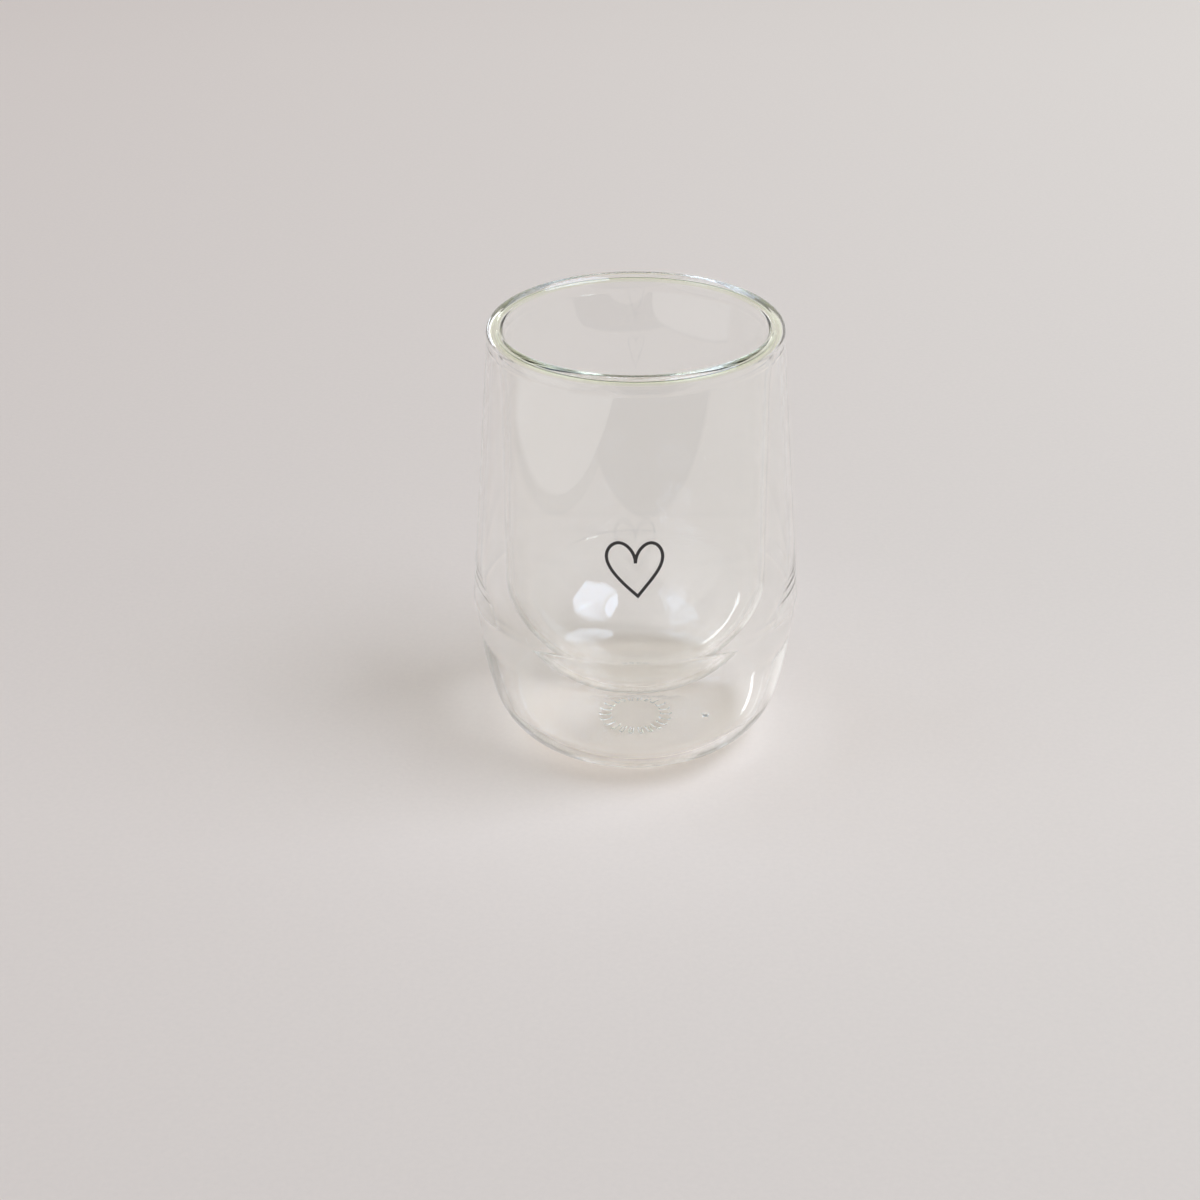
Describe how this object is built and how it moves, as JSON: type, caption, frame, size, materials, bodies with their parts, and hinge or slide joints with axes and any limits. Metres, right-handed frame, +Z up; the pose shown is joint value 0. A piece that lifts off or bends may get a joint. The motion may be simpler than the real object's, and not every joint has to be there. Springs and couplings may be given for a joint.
{
  "type": "cortado glass",
  "caption": "Double-walled clear glass cup with a rounded foot, a soft shoulder and a thick fused rim, printed with a plain heart outline; it holds a small coffee and stays cool outside.",
  "frame": {"origin": "middle of the foot, on the surface that the glass stands on", "axes": "+Z up along the glass's axis, -Y towards the side with the heart"},
  "size_m": [0.0702, 0.0702, 0.095],
  "materials": {
    "clear_glass": "fire-polished, clear, with a faint olive tint in the thick edges",
    "heart_ink": "satin fired ink"
  },
  "bodies": {
    "root": {"inner_cup": "clear_glass", "rim_bead": "clear_glass", "outer_sleeve": "clear_glass", "base_bowl": "clear_glass", "vent_seal": "clear_glass", "heart_print": "heart_ink"}
  },
  "joints": []
}
